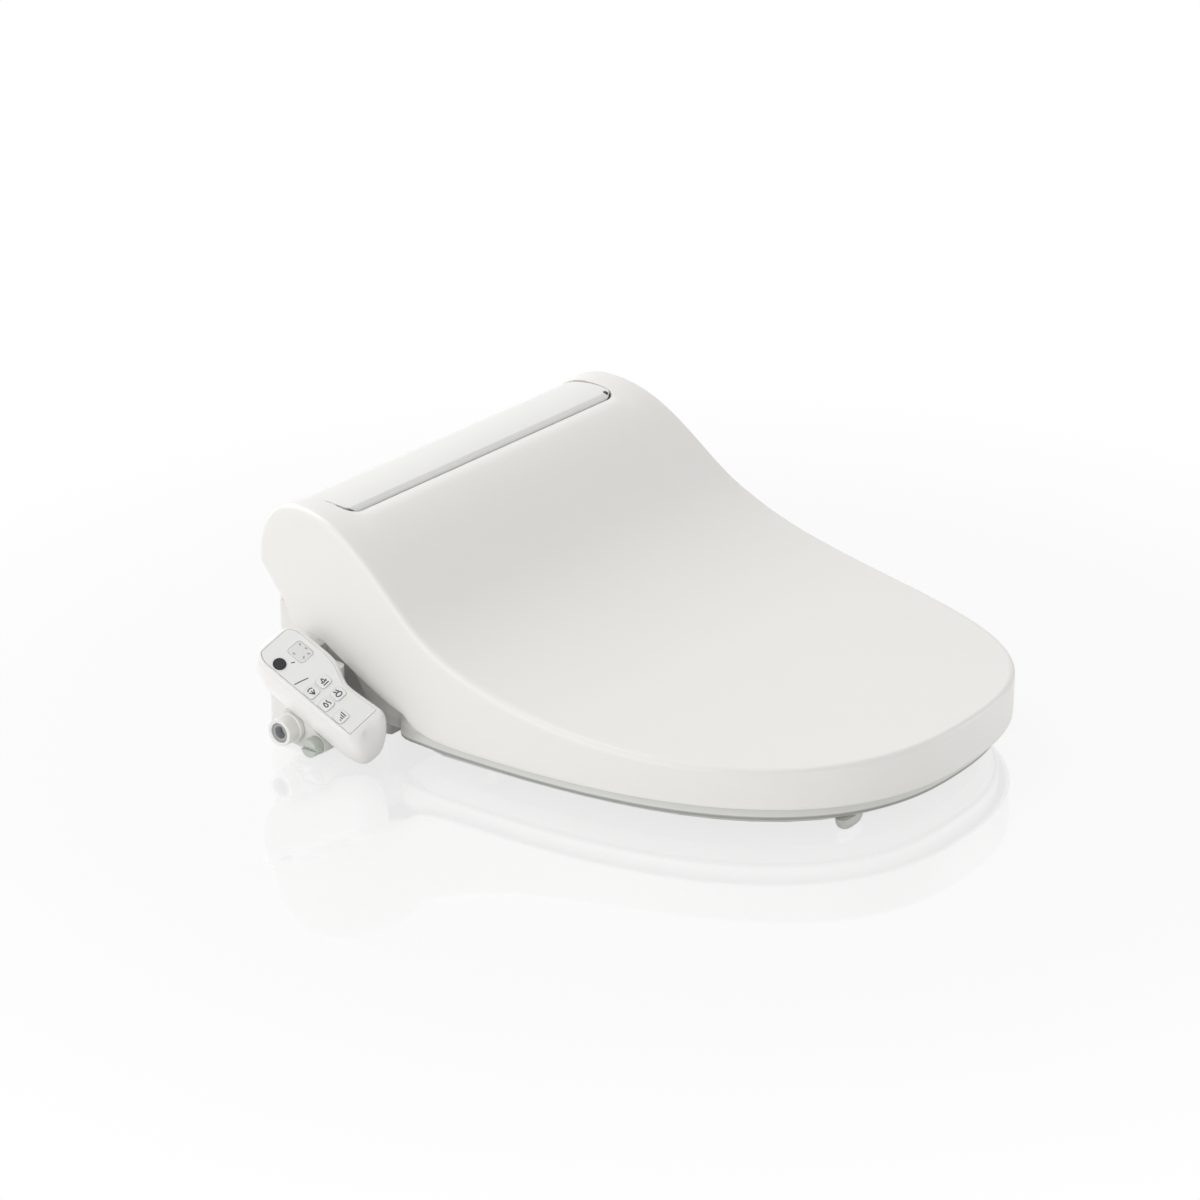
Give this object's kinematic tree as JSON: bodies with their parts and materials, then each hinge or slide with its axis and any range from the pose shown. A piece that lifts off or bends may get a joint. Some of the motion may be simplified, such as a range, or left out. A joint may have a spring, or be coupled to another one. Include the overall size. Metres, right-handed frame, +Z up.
{
  "type": "electric bidet seat",
  "caption": "Electric bidet toilet seat with a side control arm: sloping lid, heated ring seat, rear water unit, two extending wash nozzles and slow-closing hinges.",
  "frame": {"origin": "midway between the two fixing bolts, on the face of the mounting plate that rests on the bowl", "axes": "+Z up, +Y towards the wall behind the bowl, +X to the left of a person sitting on the seat, so the control arm is on -X"},
  "size_m": [0.4782, 0.5301, 0.1851],
  "materials": {
    "white_gloss": "warm white gloss, lid, seat, arm and rear strip",
    "white_satin": "warm white satin, cases and caps",
    "grey_plastic": "mid grey, fine grain",
    "black_plastic": "black, smooth",
    "clear_rubber": "milky clear silicone",
    "dark_rubber": "dark grey rubber, matte",
    "board_green": "green lacquered circuit board",
    "steel": "zinc-bright steel",
    "foil": "copper-coloured heating foil"
  },
  "bodies": {
    "unit": {"rear_trim_strip": "white_gloss", "arm_upper_case": "white_gloss", "arm_lower_case": "white_gloss", "mounting_plate": "white_satin", "base_case": "white_satin", "upper_case": "white_satin", "water_tank": "white_satin", "flow_selector": "white_satin", "inlet_fitting": "white_satin", "drain_plug": "white_satin", "nozzle_cradle": "white_satin", "arm_face_sheet": "white_satin", "seat_damper": "grey_plastic", "lid_damper": "grey_plastic", "indicator_lens": "grey_plastic", "inlet_valve": "black_plastic", "inlet_seal": "dark_rubber", "cord_gland": "dark_rubber", "control_board": "board_green", "arm_board": "board_green", "tank_heater": "steel", "selector_motor": "steel", "hinge_shaft_left": "steel", "hinge_shaft_right": "steel", "nozzle_motor_rear": "steel", "nozzle_motor_front": "steel", "case_screw_1": "steel", "case_screw_2": "steel", "case_screw_3": "steel", "case_screw_4": "steel"},
    "seat": {"seat_top_shell": "white_gloss", "seat_bottom_shell": "white_satin", "seat_heater": "foil", "seat_bumper_front_right": "clear_rubber", "seat_bumper_front_left": "clear_rubber", "seat_bumper_rear_right": "clear_rubber", "seat_bumper_rear_left": "clear_rubber"},
    "lid": {"lid_cover": "white_gloss", "lid_bumper_front_right": "clear_rubber", "lid_bumper_front_left": "clear_rubber", "lid_bumper_middle_right": "clear_rubber", "lid_bumper_middle_left": "clear_rubber"},
    "nozzle_rear": {"nozzle_rear": "white_gloss"},
    "nozzle_front": {"nozzle_front": "white_gloss"},
    "pinion_rear": {"pinion_rear": "black_plastic"},
    "pinion_front": {"pinion_front": "black_plastic"},
    "release_button": {"release_button": "grey_plastic"},
    "stop_button": {"stop_button": "black_plastic"},
    "rear_wash_button": {"rear_wash_button": "white_satin"},
    "front_wash_button": {"front_wash_button": "white_satin"},
    "water_warmth_button": {"water_warmth_button": "white_satin"},
    "seat_warmth_button": {"seat_warmth_button": "white_satin"},
    "pressure_button": {"pressure_button": "white_satin"}
  },
  "joints": [
    {"name": "seat_hinge", "type": "hinge", "parent": "unit", "child": "seat", "pos_m": [0, 0.007, 0.142], "axis": [-1, 0, 0], "range_deg": [0, 92]},
    {"name": "lid_hinge", "type": "hinge", "parent": "seat", "child": "lid", "pos_m": [0, 0.007, 0.142], "axis": [-1, 0, 0], "range_deg": [0, 95]},
    {"name": "stop_button_press", "type": "slide", "parent": "unit", "child": "stop_button", "axis": [0.3937, 0.4569, -0.7977], "range_m": [0, 0.0006], "stiffness_N_per_m": 900, "springref_m": -0.0003},
    {"name": "rear_wash_button_press", "type": "slide", "parent": "unit", "child": "rear_wash_button", "axis": [0.3937, 0.4569, -0.7977], "range_m": [0, 0.0006], "stiffness_N_per_m": 900, "springref_m": -0.0003},
    {"name": "front_wash_button_press", "type": "slide", "parent": "unit", "child": "front_wash_button", "axis": [0.3937, 0.4569, -0.7977], "range_m": [0, 0.0006], "stiffness_N_per_m": 900, "springref_m": -0.0003},
    {"name": "water_warmth_button_press", "type": "slide", "parent": "unit", "child": "water_warmth_button", "axis": [0.3937, 0.4569, -0.7977], "range_m": [0, 0.0006], "stiffness_N_per_m": 900, "springref_m": -0.0003},
    {"name": "seat_warmth_button_press", "type": "slide", "parent": "unit", "child": "seat_warmth_button", "axis": [0.3937, 0.4569, -0.7977], "range_m": [0, 0.0006], "stiffness_N_per_m": 900, "springref_m": -0.0003},
    {"name": "pressure_button_press", "type": "slide", "parent": "unit", "child": "pressure_button", "axis": [0.3937, 0.4569, -0.7977], "range_m": [0, 0.0006], "stiffness_N_per_m": 900, "springref_m": -0.0003},
    {"name": "release_button_press", "type": "slide", "parent": "unit", "child": "release_button", "axis": [-1, 0, 0], "range_m": [0, 0.003], "stiffness_N_per_m": 600, "springref_m": -0.001},
    {"name": "nozzle_rear_slide", "type": "slide", "parent": "unit", "child": "nozzle_rear", "axis": [0, -0.788, -0.6157], "range_m": [0, 0.08]},
    {"name": "nozzle_front_slide", "type": "slide", "parent": "unit", "child": "nozzle_front", "axis": [0, -0.788, -0.6157], "range_m": [0, 0.08]},
    {"name": "pinion_rear_turn", "type": "hinge", "parent": "unit", "child": "pinion_rear", "pos_m": [-0.009, -0.03985, 0.04002], "axis": [-1, 0, 0], "range_deg": [0, 764]},
    {"name": "pinion_front_turn", "type": "hinge", "parent": "unit", "child": "pinion_front", "pos_m": [0.009, -0.03985, 0.04002], "axis": [-1, 0, 0], "range_deg": [0, 764]}
  ],
  "couplings": [
    {"joint": "pinion_rear_turn", "follows": "nozzle_rear_slide", "rad_per_m": 166.67},
    {"joint": "pinion_front_turn", "follows": "nozzle_front_slide", "rad_per_m": 166.67}
  ]
}
